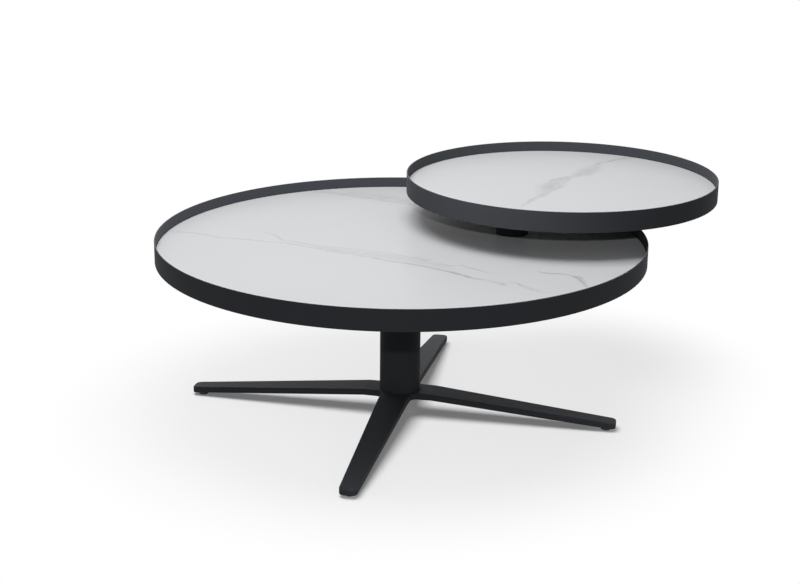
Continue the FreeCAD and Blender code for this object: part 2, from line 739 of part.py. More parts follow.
nodes = [make_star_base()]
for position, quarter in (("back", 0), ("left", 90), ("front", 180), ("right", 270)):
    nodes.append(make_glide("glide_" + position, quarter))
glide_places = circle_places(glide_reach, LEG_COUNT)
for label, places, make_one in (
    ("glide_screws", glide_places, make_glide_screw),
    ("base_bolts", base_bolt_places, make_base_bolt),
    ("base_washers", base_bolt_places, make_base_washer),
):
    nodes.append(place(new_group(label, places, make_one), turn="Sizes.leg_angle"))
nodes += make_column()
nodes.append(make_carrier_plate())
carrier_screws = new_group(
    "carrier_screws",
    carrier_screw_places,
    lambda name: make_plate_screw(name, "0", "Sizes.carrier_thickness"),
)
nodes.append(place(carrier_screws, z=carrier_bottom))

for piece, level in make_tray("large", "Sizes.large_top_diameter", "0", carrier_screw_places, True):
    nodes.append(place(piece, z=f"{large_bottom} + {level}"))
nodes += make_post()
nodes += make_swivel()
for piece, level in make_tray("small", "Sizes.small_top_diameter", small_top_arm, swivel_screw_places, False):
    nodes.append(place(piece, swivel_offset, "0", f"{small_bottom} + {level}", "Sizes.swing_angle"))

doc.recompute()

# Every object must have been rebuilt without a fault before its solids are written

for item in doc.Objects:
    if "Invalid" in item.State or "Error" in item.State:
        raise RuntimeError(f"{item.Name} failed: {item.State}")
for node in nodes:
    if node.Shape.isNull() or not node.Shape.isValid() or not node.Shape.Solids:
        raise RuntimeError(f"{node.Label} has no valid solid")

os.makedirs("parts", exist_ok=True)
for node in nodes:
    node.Shape.exportStep(f"parts/{node.Label}.step")
    print(f"{node.Label}: {len(node.Shape.Solids)} solids, {node.Shape.Volume / 1000:.2f} cm3")
print(f"{len(nodes)} nodes")
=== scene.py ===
# %% [markdown]
# # Swivel coffee table
# A large round tray top stands on a column with four sloping legs, and a small round tray top
# swings over it on a post. The CAD model already has every piece at its real size, so this lesson
# dresses it: a camera and light as in a product photograph, one material for each finish, and the
# small hardware under the tops, which gets the rounded and chamfered forms that the CAD leaves out.
# Lengths are in metres, unless a name or a comment says millimetres.

# %% Load the CAD model
import json
import math

import bmesh
import bpy
from mathutils import Matrix, Vector


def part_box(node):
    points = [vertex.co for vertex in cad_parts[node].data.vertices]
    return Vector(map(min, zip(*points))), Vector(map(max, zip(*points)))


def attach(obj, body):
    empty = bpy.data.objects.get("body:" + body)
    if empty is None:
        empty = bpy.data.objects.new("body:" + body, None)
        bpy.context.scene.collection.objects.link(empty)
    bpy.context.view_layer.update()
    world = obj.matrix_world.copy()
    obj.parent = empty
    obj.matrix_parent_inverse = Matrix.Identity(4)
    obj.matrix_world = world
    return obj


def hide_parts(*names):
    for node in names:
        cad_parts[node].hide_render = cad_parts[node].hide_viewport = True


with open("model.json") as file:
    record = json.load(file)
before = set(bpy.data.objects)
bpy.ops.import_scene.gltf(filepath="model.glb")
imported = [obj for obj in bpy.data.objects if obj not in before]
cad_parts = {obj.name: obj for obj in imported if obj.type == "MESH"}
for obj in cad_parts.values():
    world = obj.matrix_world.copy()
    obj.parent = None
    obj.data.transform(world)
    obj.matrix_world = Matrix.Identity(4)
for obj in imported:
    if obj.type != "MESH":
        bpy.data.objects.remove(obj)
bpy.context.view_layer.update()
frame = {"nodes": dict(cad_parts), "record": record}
nodes = frame["nodes"]
MM = 0.001
scene = bpy.context.scene

# %% [markdown]
# ## Camera
# The table is photographed from the front, looking down a little on the tops, with a long lens from
# about three metres away. Such a lens shows little perspective, so the near and far halves of each
# disc look almost alike. The camera is built from turns rather than aimed with a constraint, so
# that the slight roll of the photograph is kept. The front is not along an axis here: +X runs from
# the column to the post of the small top.

# %% Camera
CAMERA_PLACE = Vector((-1.0872, -2.6043, 1.1203))
CAMERA_HEADING = math.radians(-22.632)
CAMERA_DOWN = 0.3035  # radians, as is the roll
CAMERA_ROLL = 0.0093
LENS_MM = 71.56
FULL_FRAME_MM = 36

lens = bpy.data.cameras.new("photo_lens")
lens.sensor_width = FULL_FRAME_MM
lens.lens = LENS_MM
camera = bpy.data.objects.new("photo_camera", lens)
heading = Matrix.Rotation(CAMERA_HEADING, 4, "Z")
camera.matrix_world = (
    Matrix.Translation(CAMERA_PLACE)
    @ heading
    @ Matrix.Rotation(math.pi / 2 - CAMERA_DOWN, 4, "X")
    @ Matrix.Rotation(CAMERA_ROLL, 4, "Z")
)
scene.collection.objects.link(camera)
scene.camera = camera
scene.view_settings.view_transform = "Standard"
print(f"camera {CAMERA_PLACE.length:.2f} m from the column's foot, {LENS_MM} mm lens")

# %% [markdown]
# ## Nodes and colours
# Every material below is a small graph of nodes. One function adds a node, sets its options and
# fills its inputs, with a number or with a link. Colours are written as they look on a screen, and
# one function turns them into the linear light that Blender calculates with.

# %% Helpers for materials
def linear(hex_colour):
    """Linear colour of a screen colour such as #808080."""
    channels = [int(hex_colour[i:i + 2], 16) / 255 for i in (1, 3, 5)]
    return [c / 12.92 if c <= 0.04045 else ((c + 0.055) / 1.055) ** 2.4 for c in channels] + [1.0]


def add_node(tree, kind, inputs, **settings):
    """Adds a node; an input is filled with a value, or linked where a socket is given."""
    node = tree.nodes.new(kind)
    for name, setting in settings.items():
        setattr(node, name, setting)
    for name, source in inputs.items():
        if isinstance(source, bpy.types.NodeSocket):
            tree.links.new(source, node.inputs[name])
        else:
            node.inputs[name].default_value = source
    return node


def new_material(name):
    """Material with an empty node tree, and that tree."""
    material = bpy.data.materials.new(name)
    material.use_nodes = True
    material.node_tree.nodes.clear()
    return material, material.node_tree


def per_metre(size_mm):
    """Texture scale that gives a pattern of this size in millimetres."""
    return 1 / (size_mm * MM)


print("the coat's dark grey is", [round(c, 4) for c in linear("#2b2d30")[:3]], "in linear light")

# %% [markdown]
# ## Floor
# The photograph has a white ground with a pale grey pool of shade under the table, and the legs
# throw narrow soft shadows. The pool follows both tops: a round shade for the large one and a
# weaker one beside it for the small one, which a smooth minimum of two distances runs together. A
# real floor would be darker here and grey further out, so from the pool outwards the floor takes
# over a glow of its own, which the camera sees directly, in reflections and through glass. Light
# that bounces off the floor meets a darker paint, so the undersides above it stay dark. The floor
# is clear from below, so that the table can be looked at from there too, and it lies a hair below
# the glides, because two faces at one height would hide each other in patches.

# %% Floor
FLOOR_SIDE = 30.0
FLOOR_DROP_MM = 0.2

mesh = bpy.data.meshes.new("studio_floor")
bm = bmesh.new()
bmesh.ops.create_grid(
    bm, x_segments=1, y_segments=1, size=FLOOR_SIDE / 2,
    matrix=Matrix.Translation((0, 0, -FLOOR_DROP_MM * MM)),
)
bm.to_mesh(mesh)
bm.free()
floor = bpy.data.objects.new("studio_floor", mesh)
scene.collection.objects.link(floor)
print(f"floor {FLOOR_SIDE:.0f} m wide, {FLOOR_DROP_MM} mm below the glides")

# %% Pool of shade
POOL_INNER = 0.36
POOL_OUTER = 0.68
POOL_GLOW = 0.13
LARGE_SHADE = (-0.005, 0.03, 0.0)
SMALL_SHADE = (0.48, 0.13, 0.0)
SMALL_SHADE_LESS = 0.30
SHADE_BLEND = 0.34

floor_paint, tree = new_material("pale_studio_floor")
place = add_node(tree, "ShaderNodeTexCoord", {})
large_distance = add_node(
    tree, "ShaderNodeVectorMath", {0: place.outputs["Object"], 1: LARGE_SHADE}, operation="DISTANCE",
)
small_distance = add_node(
    tree, "ShaderNodeVectorMath", {0: place.outputs["Object"], 1: SMALL_SHADE}, operation="DISTANCE",
)
weaker = add_node(
    tree, "ShaderNodeMath", {0: small_distance.outputs["Value"], 1: SMALL_SHADE_LESS}, operation="ADD",
)
distance = add_node(
    tree, "ShaderNodeMath", {0: large_distance.outputs["Value"], 1: weaker.outputs[0], 2: SHADE_BLEND},
    operation="SMOOTH_MIN",
)
glow_share = add_node(
    tree, "ShaderNodeMapRange",
    {"Value": distance.outputs["Value"], "From Min": POOL_INNER, "From Max": POOL_OUTER, "To Min": POOL_GLOW},
    interpolation_type="SMOOTHSTEP",
)
print(f"pool of shade from {POOL_INNER} m, white from {POOL_OUTER} m outwards")


# %% Floor paint
def seen_directly(tree, ray):
    """Socket with 1 for what the camera sees, also mirrored or through glass, and 0 for bounced light."""
    mirrored = add_node(
        tree, "ShaderNodeMath",
        {0: ray.outputs["Is Camera Ray"], 1: ray.outputs["Is Glossy Ray"]}, operation="MAXIMUM",
    )
    return add_node(
        tree, "ShaderNodeMath",
        {0: mirrored.outputs[0], 1: ray.outputs["Is Transmission Ray"]}, operation="MAXIMUM",
    ).outputs[0]


glow = add_node(tree, "ShaderNodeEmission", {"Color": linear("#ffffff"), "Strength": 1.0})
ray = add_node(tree, "ShaderNodeLightPath", {})
paint = add_node(
    tree, "ShaderNodeMix",
    {0: ray.outputs["Is Diffuse Ray"], 6: linear("#f2f2f2"), 7: linear("#909090")}, data_type="RGBA",
)
lit = add_node(tree, "ShaderNodeBsdfDiffuse", {"Color": paint.outputs[2]})
share = add_node(
    tree, "ShaderNodeMath",
    {0: seen_directly(tree, ray), 1: glow_share.outputs["Result"]}, operation="MULTIPLY",
)
upper = add_node(tree, "ShaderNodeMixShader", {0: share.outputs[0], 1: lit.outputs[0], 2: glow.outputs[0]})
side = add_node(tree, "ShaderNodeNewGeometry", {})
clear = add_node(tree, "ShaderNodeBsdfTransparent", {})
surface = add_node(
    tree, "ShaderNodeMixShader",
    {0: side.outputs["Backfacing"], 1: upper.outputs[0], 2: clear.outputs[0]},
)
add_node(tree, "ShaderNodeOutputMaterial", {"Surface": surface.outputs[0]})
mesh.materials.append(floor_paint)
print(f"{floor_paint.name}: {len(tree.nodes)} nodes")

# %% [markdown]
# ## World
# The studio is white all round. The camera and reflections see that white at full strength, so metal
# and gloss show it, while the light that the world gives is weaker and leaves the modelling of the
# forms to the lamps.

# %% World
WORLD_LIGHT = 0.20

world = bpy.data.worlds.new("white_studio")
scene.world = world
world.use_nodes = True
tree = world.node_tree
tree.nodes.clear()
ray = add_node(tree, "ShaderNodeLightPath", {})
strength = add_node(
    tree, "ShaderNodeMapRange",
    {"Value": seen_directly(tree, ray), "To Min": WORLD_LIGHT, "To Max": 1.0},
)
studio = add_node(
    tree, "ShaderNodeBackground", {"Color": linear("#ffffff"), "Strength": strength.outputs["Result"]},
)
add_node(tree, "ShaderNodeOutputWorld", {"Surface": studio.outputs[0]})
print(f"world light {WORLD_LIGHT}")

# %% [markdown]
# ## Lamps
# A wide soft box hangs over the table and gives the even light on the stone and the soft shade
# under the small top. A small lamp above and behind the camera lifts the fronts of the rims and the
# column. It also draws two thin shadow lines: of the large rim on the column, and of the small rim
# on the stone behind it. A lamp above the trays lights only the rims and brightens their insides, as
# the stone does. A panel behind the table lights only the coated steel, so the legs' far ends shine
# a little and the table isn't black from behind. A wide panel on the camera's side lights only the
# star base: the tabletop shades it, so the legs grow lighter from the column to their tips. The
# floor has a wide lamp of its own: only the base blocks it, so the legs draw their soft shadows in
# the pale pool without the tabletop's large shadow around them. Places are given as the camera sees
# them: to the right, away and up, in metres from the column's foot.

# %% Lamps
LAMPS = {
    "overhead_softbox": {"place": (-0.3, -0.1, 2.4), "target": (0.1, 0.0, 0.35), "side": 1.6, "watts": 38.2},
    "front_lamp": {"place": (0.0, -3.5, 1.645), "target": (0.1, 0.0, 0.3), "side": 0.06, "watts": 31.5},
    "back_lamp": {"place": (-0.3, 2.0, 0.9), "target": (0.0, 0.0, 0.0), "side": 2.0, "watts": 34},
    "tray_lamp": {"place": (0.04, -0.16, 1.0), "target": (0.04, -0.16, 0.0), "side": 0.4, "watts": 17},
    "leg_lamp": {"place": (0.45, -0.6, 1.8), "target": (0.2, -0.2, 0.0), "side": 2.2, "watts": 46},
    "floor_lamp": {"place": (-0.45, -0.2, 2.6), "target": (1.0, 0.0, 0.0), "side": 2.1, "watts": 73},
}

lamps = {}
for name, setup in LAMPS.items():
    data = bpy.data.lights.new(name, "AREA")
    data.size = setup["side"]
    data.energy = setup["watts"]
    lamp = bpy.data.objects.new(name, data)
    lamp.location = heading @ Vector(setup["place"])
    direction = heading @ Vector(setup["target"]) - lamp.location
    lamp.rotation_euler = direction.to_track_quat("-Z", "Y").to_euler()
    scene.collection.objects.link(lamp)
    lamps[name] = lamp
    print(f"{name}: {setup['watts']} W, {setup['side']} m wide")

# %% What each lamp lights
GLIDES = ["glide_back", "glide_left", "glide_front", "glide_right"]


def light_group(name, members):
    """Collection of the objects that a lamp lights, or that block it."""
    group = bpy.data.collections.new(name)
    for member in members:
        group.objects.link(member)
    print(f"{name}: {len(members)} objects")
    return group


only_floor = light_group("only_floor", [floor])
not_floor = light_group("not_floor", [floor])
not_floor.collection_objects[0].light_linking.link_state = "EXCLUDE"
only_base = light_group("only_base", [nodes["star_base"]])
only_rims = light_group("only_rims", [nodes["large_rim"], nodes["small_rim"]])
only_coated = light_group("only_coated", [
    nodes[name] for name in ("star_base", "column_tube", "large_rim", "small_rim", "post_tube")
])
base_pieces = light_group("base_pieces", [
    nodes[name] for name in ["star_base", "column_foot_plate", "base_washers"] + GLIDES
])
for name, group in {
    "overhead_softbox": not_floor, "front_lamp": not_floor, "back_lamp": only_coated,
    "tray_lamp": only_rims, "leg_lamp": only_base, "floor_lamp": only_floor,
}.items():
    lamps[name].light_linking.receiver_collection = group
lamps["floor_lamp"].light_linking.blocker_collection = base_pieces

# %% [markdown]
# ## Powder coat
# The rims, legs, column and plates are steel with a black-grey powder coat: dry paint, melted on in
# an oven. It leaves a fine pebbled skin with a low satin gloss, so it catches the white studio only
# faintly. The pebbles are about half a millimetre wide, too fine for this picture, so they are
# drawn three times coarser, with a slow orange-peel wave under them.

# %% Powder-coated steel
PEBBLE_MM = 1.5
ORANGE_PEEL_MM = 9

powder_coat, tree = new_material("powder_coated_steel")
place = add_node(tree, "ShaderNodeTexCoord", {})
pebbles = add_node(
    tree, "ShaderNodeTexNoise",
    {"Vector": place.outputs["Object"], "Scale": per_metre(PEBBLE_MM), "Detail": 2.0},
)
peel = add_node(
    tree, "ShaderNodeTexNoise",
    {"Vector": place.outputs["Object"], "Scale": per_metre(ORANGE_PEEL_MM), "Detail": 1.0},
)
tint = add_node(
    tree, "ShaderNodeMix",
    {0: pebbles.outputs[0], 6: linear("#2b2d30"), 7: linear("#333539")}, data_type="RGBA",
)
gloss = add_node(tree, "ShaderNodeMapRange", {"Value": pebbles.outputs[0], "To Min": 0.7, "To Max": 0.84})
height = add_node(
    tree, "ShaderNodeMath", {0: peel.outputs[0], 1: pebbles.outputs[0]}, operation="ADD",
)
skin = add_node(
    tree, "ShaderNodeBump", {"Height": height.outputs[0], "Strength": 0.15, "Distance": 0.2 * MM},
)
coat = add_node(tree, "ShaderNodeBsdfPrincipled", {
    "Base Color": tint.outputs[2], "Roughness": gloss.outputs["Result"], "Normal": skin.outputs[0],
    "IOR": 1.5, "Specular IOR Level": 0.1,
})
add_node(tree, "ShaderNodeOutputMaterial", {"Surface": coat.outputs[0]})


def dress(names, material):
    """Gives CAD nodes one material."""
    for name in names:
        slots = nodes[name].data.materials
        slots.clear()
        slots.append(material)
    print(f"{material.name} on {len(names)} nodes")


dress([
    "star_base", "column_tube", "carrier_plate", "large_rim", "large_base_plate",
    "post_tube", "swivel_plate", "small_rim", "small_base_plate",
], powder_coat)

# %% [markdown]
# ## A vein in the stone
# Both discs are sintered stone: minerals pressed and fired, with a white marble pattern printed
# into the surface. A noise texture alone would scatter veins anywhere, so each vein here is drawn:
# a list of points in millimetres, each with the vein's half width and its strength there. A Mapping
# node lays the x axis along the vein, and three curves give its path, width and strength from end
# to end. A curve node holds heights from 0 to 1, so the path is drawn round its middle.

# %% Draw one vein
WIDEST_MM = 40
SOFT_EDGE = 1.3
CURVE_MIDDLE = 0.5


def fill_curve(node, places, heights):
    """Sets a curve node to pass through points from 0 to 1."""
    curve = node.mapping.curves[0]
    for spot, height in zip(places[1:-1], heights[1:-1]):
        curve.points.new(spot, height)
    curve.points[0].location = places[0], heights[0]
    curve.points[-1].location = places[-1], heights[-1]
    node.mapping.update()


def add_vein(tree, position, points):
    """Darkness of a vein that fades at its ends, from points of x, y, half width in mm and strength."""
    start, end = (Vector(point[:2]) * MM for point in (points[0], points[-1]))
    length = (end - start).length
    turn = math.atan2(end.y - start.y, end.x - start.x)
    along = add_node(tree, "ShaderNodeMapping", {
        "Vector": position, "Location": (start.x, start.y, 0), "Rotation": (0, 0, turn),
        "Scale": (length, length, length),
    }, vector_type="TEXTURE")
    axes = add_node(tree, "ShaderNodeSeparateXYZ", {0: along.outputs[0]})
    unturn = Matrix.Rotation(-turn, 2)
    local = [unturn @ (Vector(point[:2]) * MM - start) / length for point in points]
    spots = [spot.x for spot in local]
    path, width, strength = (
        add_node(tree, "ShaderNodeFloatCurve", {"Value": axes.outputs["X"]}) for _ in range(3)
    )
    fill_curve(path, spots, [CURVE_MIDDLE + spot.y for spot in local])
    fill_curve(width, spots, [point[2] / WIDEST_MM for point in points])
    fill_curve(strength, spots, [0] + [point[3] for point in points[1:-1]] + [0])
    centre_line = add_node(
        tree, "ShaderNodeMath", {0: path.outputs[0], 1: CURVE_MIDDLE}, operation="SUBTRACT",
    )
    off = add_node(
        tree, "ShaderNodeMath", {0: axes.outputs["Y"], 1: centre_line.outputs[0]}, operation="SUBTRACT",
    )
    off = add_node(tree, "ShaderNodeMath", {0: off.outputs[0]}, operation="ABSOLUTE")
    share = add_node(
        tree, "ShaderNodeMath", {0: off.outputs[0], 1: width.outputs[0]}, operation="DIVIDE",
    )
    edge = add_node(tree, "ShaderNodeMapRange", {
        "Value": share.outputs[0], "From Min": 0.0, "From Max": SOFT_EDGE * WIDEST_MM * MM / length,
        "To Min": 1.0, "To Max": 0.0,
    }, interpolation_type="SMOOTHSTEP")
    return add_node(
        tree, "ShaderNodeMath", {0: edge.outputs[0], 1: strength.outputs[0]}, operation="MULTIPLY",
    ).outputs[0]


print(f"a vein may be up to {2 * WIDEST_MM} mm wide")

# %% [markdown]
# ## Sintered stone
# The surface is satin: it scatters the light and keeps only a faint sheen. The white is not even:
# soft clouds a hand wide, and a fine speckle from the pressed grains, drawn a few times coarser
# than it is. A slow noise bends the drawn veins, a faster one frays their edges and a third breaks
# them up. Each disc has its own veins, as two slabs would.

# %% Veins of the two discs
LARGE_VEINS = [
    [(-383, 250, 3, 0.3), (-352, 222, 4, 0.4), (-319, 192, 4, 0.45), (-298, 160, 4, 0.45),
     (-256, 130, 4, 0.4), (-230, 107, 4, 0.35), (-204, 86, 4, 0.4), (-165, 41, 4, 0.4),
     (-118, -21, 5, 0.4), (-88, -57, 5, 0.45), (-57, -99, 5, 0.5), (-28, -131, 5, 0.55),
     (0, -179, 5, 0.8), (19, -218, 5, 0.85), (35, -247, 5, 0.6), (53, -266, 4, 0.3), (60, -286, 4, 0)],
    [(-190, 97, 4, 0), (-182, 88, 4, 0.35), (-148, 45, 4, 0.35), (-114, 17, 4, 0.3), (-81, -11, 4, 0.3),
     (-50, -42, 4, 0.3), (-25, -76, 4, 0.3), (-12, -95, 4, 0.4), (4, -113, 5, 0.6), (17, -107, 5, 0.7),
     (21, -105, 4, 0)],
    [(-190, 90, 6, 0), (-160, 50, 9, 0.15), (-125, 5, 17, 0.22), (-85, -34, 22, 0.22), (-45, -75, 24, 0.22),
     (-10, -120, 24, 0.2), (12, -160, 18, 0.15), (30, -200, 12, 0)],
    [(-212, 172, 4, 0), (-206, 163, 4, 0.3), (-194, 139, 4, 0.35), (-195, 108, 4, 0.4), (-190, 90, 4, 0)],
    [(10, -137, 4, 0), (15, -143, 4, 0.4), (27, -160, 4, 0.55), (44, -163, 4, 0.45), (54, -190, 4, 0.45),
     (65, -213, 4, 0.4), (73, -224, 4, 0)],
    [(48, -258, 5, 0), (59, -287, 7, 0.45), (70, -301, 7, 0.5), (84, -294, 5, 0.45), (92, -318, 6, 0.4),
     (104, -345, 6, 0.3), (123, -374, 5, 0)],
    [(66, -282, 4, 0), (72, -290, 4, 0.4), (80, -286, 4, 0.4), (88, -306, 4, 0)],
    [(154, -246, 4, 0), (158, -252, 4, 0.7), (166, -260, 4, 0.8), (188, -276, 3, 0.85), (198, -291, 3, 0.7)],
    [(188, -276, 3, 0), (199, -291, 4, 0.8), (202, -310, 5, 0.8), (199, -326, 5, 0.85), (194, -352, 5, 0.5),
     (190, -366, 4, 0)],
    [(194, -284, 4, 0), (208, -300, 4, 0.45), (208, -318, 4, 0.45), (200, -336, 4, 0)],
    [(-15, 440, 10, 0), (-9, 434, 10, 0.3), (32, 398, 12, 0.35), (53, 369, 12, 0.4), (104, 303, 12, 0.35),
     (133, 266, 12, 0.3), (160, 232, 10, 0)],
    [(28, 418, 10, 0), (48, 402, 24, 0.16), (72, 374, 32, 0.24), (108, 330, 34, 0.3), (138, 292, 28, 0.26),
     (168, 252, 16, 0)],
]
SMALL_VEINS = [
    [(201, -91, 4, 0.3), (234, -53, 6, 0.45), (274, -22, 8, 0.5), (294, -6, 8, 0.55), (330, 23, 6, 0.5),
     (367, 58, 5, 0.45), (394, 86, 5, 0.4), (420, 100, 5, 0)],
    [(296, 22, 5, 0), (304, 32, 5, 0.35), (315, 47, 5, 0.35), (336, 70, 5, 0.4), (373, 94, 6, 0.5),
     (395, 99, 6, 0.5), (435, 116, 6, 0.35), (484, 158, 8, 0.3), (523, 192, 7, 0.45), (548, 196, 7, 0.5),
     (589, 209, 7, 0.5), (610, 210, 6, 0)],
    [(268, -24, 10, 0), (300, 12, 20, 0.36), (330, 44, 25, 0.46), (365, 76, 20, 0.46), (395, 95, 10, 0.36),
     (420, 102, 8, 0)],
    [(386, 88, 8, 0), (413, 100, 14, 0.36), (448, 122, 24, 0.45), (476, 146, 24, 0.4), (498, 168, 14, 0.25),
     (520, 184, 8, 0)],
]
print(f"{len(LARGE_VEINS)} veins in the large disc, {len(SMALL_VEINS)} in the small one")

# %% Sintered stone
CLOUD_MM = 130
SPECKLE_MM = 2.5
WANDER_MM = 45
WANDER_REACH_MM = 4
FRAY_MM = 9
FRAY_REACH_MM = 2
BREAK_MM = 14


def make_stone(name, veins):
    """White sintered stone with the veins of one disc."""
    stone, tree = new_material(name)
    place = add_node(tree, "ShaderNodeTexCoord", {}).outputs["Object"]
    bent = place
    for size, reach in ((WANDER_MM, WANDER_REACH_MM), (FRAY_MM, FRAY_REACH_MM)):
        bend = add_node(
            tree, "ShaderNodeTexNoise",
            {"Vector": place, "Scale": per_metre(size), "Detail": 2.0}, normalize=False,
        )
        bent = add_node(
            tree, "ShaderNodeVectorMath",
            {0: bend.outputs["Color"], 1: (reach * MM, reach * MM, 0), 2: bent}, operation="MULTIPLY_ADD",
        ).outputs[0]
    dark = add_vein(tree, bent, veins[0])
    for points in veins[1:]:
        other = add_vein(tree, bent, points)
        dark = add_node(tree, "ShaderNodeMath", {0: dark, 1: other}, operation="MAXIMUM").outputs[0]

    breaks = add_node(
        tree, "ShaderNodeTexNoise", {"Vector": bent, "Scale": per_metre(BREAK_MM), "Detail": 2.0},
    )
    kept = add_node(tree, "ShaderNodeMapRange", {
        "Value": breaks.outputs[0], "From Min": 0.3, "From Max": 0.7, "To Min": 0.5, "To Max": 1.2,
    })
    dark = add_node(tree, "ShaderNodeMath", {0: dark, 1: kept.outputs[0]}, operation="MULTIPLY").outputs[0]

    clouds = add_node(
        tree, "ShaderNodeTexNoise",
        {"Vector": place, "Scale": per_metre(CLOUD_MM), "Detail": 2.0, "Distortion": 0.4},
    )
    speckle = add_node(
        tree, "ShaderNodeTexNoise", {"Vector": place, "Scale": per_metre(SPECKLE_MM), "Detail": 1.0},
    )
    white = add_node(
        tree, "ShaderNodeMix",
        {0: clouds.outputs[0], 6: linear("#cecfd2"), 7: linear("#d5d6d8")}, data_type="RGBA",
    )
    white = add_node(
        tree, "ShaderNodeMix",
        {0: speckle.outputs[0], 6: white.outputs[2], 7: linear("#d3d4d6")}, data_type="RGBA",
    )
    colour = add_node(
        tree, "ShaderNodeMix",
        {0: dark, 6: white.outputs[2], 7: linear("#9fa2a7")}, data_type="RGBA",
    )
    gloss = add_node(
        tree, "ShaderNodeMapRange", {"Value": clouds.outputs[0], "To Min": 0.3, "To Max": 0.38},
    )
    grain = add_node(
        tree, "ShaderNodeBump", {"Height": clouds.outputs[0], "Strength": 0.02, "Distance": 1 * MM},
    )
    slab = add_node(tree, "ShaderNodeBsdfPrincipled", {
        "Base Color": colour.outputs[2], "Roughness": gloss.outputs[0], "Normal": grain.outputs[0],
        "IOR": 1.5, "Specular IOR Level": 0.06,
    })
    add_node(tree, "ShaderNodeOutputMaterial", {"Surface": slab.outputs[0]})
    return stone


dress(["large_stone"], make_stone("sintered_stone_large", LARGE_VEINS))
dress(["small_stone"], make_stone("sintered_stone_small", SMALL_VEINS))

# %% [markdown]
# ## Zinc-plated steel
# The screws, bolts and washers are steel with a bright zinc skin from a plating bath. It gives the
# eye a pale bluish metal that is a little cloudy, because the crystals of zinc grow unevenly, and
# that keeps a fine matt grain. The clouds are as wide as a fingertip, and the grain is drawn
# coarser than it is.

# %% Zinc-plated steel
ZINC_CLOUD_MM = 12
ZINC_GRAIN_MM = 0.8

zinc, tree = new_material("zinc_plated_steel")
place = add_node(tree, "ShaderNodeTexCoord", {}).outputs["Object"]
clouds = add_node(
    tree, "ShaderNodeTexNoise", {"Vector": place, "Scale": per_metre(ZINC_CLOUD_MM), "Detail": 2.0},
)
grain = add_node(tree, "ShaderNodeTexNoise", {"Vector": place, "Scale": per_metre(ZINC_GRAIN_MM)})
tint = add_node(
    tree, "ShaderNodeMix",
    {0: clouds.outputs[0], 6: linear("#a3a8ad"), 7: linear("#c2c3bf")}, data_type="RGBA",
)
gloss = add_node(tree, "ShaderNodeMapRange", {"Value": grain.outputs[0], "To Min": 0.24, "To Max": 0.46})
skin = add_node(tree, "ShaderNodeBump", {"Height": grain.outputs[0], "Strength": 0.1, "Distance": 0.05 * MM})
plating = add_node(tree, "ShaderNodeBsdfPrincipled", {
    "Base Color": tint.outputs[2], "Metallic": 1.0, "Roughness": gloss.outputs[0], "Normal": skin.outputs[0],
})
add_node(tree, "ShaderNodeOutputMaterial", {"Surface": plating.outputs[0]})
dress(["base_washers", "column_foot_plate", "spindle", "retaining_washer"], zinc)

# %% [markdown]
# ## Moulded nylon
# The glides under the legs, the bushes in the post and the ring that the small top turns on are
# black nylon, moulded in a spark-eroded tool. The tool leaves an even matt grain, so the plastic
# shows a broad dull sheen and no reflections.

# %% Moulded nylon
MOULD_GRAIN_MM = 1.2

nylon, tree = new_material("moulded_nylon")
place = add_node(tree, "ShaderNodeTexCoord", {}).outputs["Object"]
grain = add_node(
    tree, "ShaderNodeTexNoise", {"Vector": place, "Scale": per_metre(MOULD_GRAIN_MM), "Detail": 1.0},
)
tint = add_node(
    tree, "ShaderNodeMix",
    {0: grain.outputs[0], 6: linear("#17181a"), 7: linear("#222325")}, data_type="RGBA",
)
gloss = add_node(tree, "ShaderNodeMapRange", {"Value": grain.outputs[0], "To Min": 0.48, "To Max": 0.66})
skin = add_node(tree, "ShaderNodeBump", {"Height": grain.outputs[0], "Strength": 0.2, "Distance": 0.1 * MM})
moulding = add_node(tree, "ShaderNodeBsdfPrincipled", {
    "Base Color": tint.outputs[2], "Roughness": gloss.outputs[0], "Normal": skin.outputs[0], "IOR": 1.53,
})
add_node(tree, "ShaderNodeOutputMaterial", {"Surface": moulding.outputs[0]})
dress(GLIDES + ["lower_bush", "upper_bush", "thrust_washer"], nylon)

# %% [markdown]
# ## Black fibreboard
# Under each stone lies a board of wood fibres, dyed black in the mass and pressed. The fibres give a
# faint streaky felt with no gloss. The streaks are made by squeezing a noise: long in one direction,
# short in the other two.

# %% Black fibreboard
FIBRE_LENGTH_MM = 6
FIBRE_WIDTH_MM = 1

board, tree = new_material("black_fibreboard")
place = add_node(tree, "ShaderNodeTexCoord", {}).outputs["Object"]
squeeze = add_node(tree, "ShaderNodeMapping", {
    "Vector": place,
    "Scale": (per_metre(FIBRE_LENGTH_MM), per_metre(FIBRE_WIDTH_MM), per_metre(FIBRE_WIDTH_MM)),
})
fibres = add_node(tree, "ShaderNodeTexNoise", {"Vector": squeeze.outputs[0], "Scale": 1.0, "Distortion": 0.8})
tint = add_node(
    tree, "ShaderNodeMix",
    {0: fibres.outputs[0], 6: linear("#1a1816"), 7: linear("#302b27")}, data_type="RGBA",
)
gloss = add_node(tree, "ShaderNodeMapRange", {"Value": fibres.outputs[0], "To Min": 0.75, "To Max": 0.9})
felt = add_node(tree, "ShaderNodeBump", {"Height": fibres.outputs[0], "Strength": 0.3, "Distance": 0.1 * MM})
pressed = add_node(tree, "ShaderNodeBsdfPrincipled", {
    "Base Color": tint.outputs[2], "Roughness": gloss.outputs[0], "Normal": felt.outputs[0], "IOR": 1.47,
})
add_node(tree, "ShaderNodeOutputMaterial", {"Surface": pressed.outputs[0]})
dress(["large_board", "small_board"], board)

# %% [markdown]
# ## Turned brass
# The threaded inserts in the boards are turned from brass rod. The lathe tool leaves fine rings one
# above the other, which a wave texture along z draws as bands of gloss and height, many times
# coarser than they are. Handling leaves the yellow a little uneven.

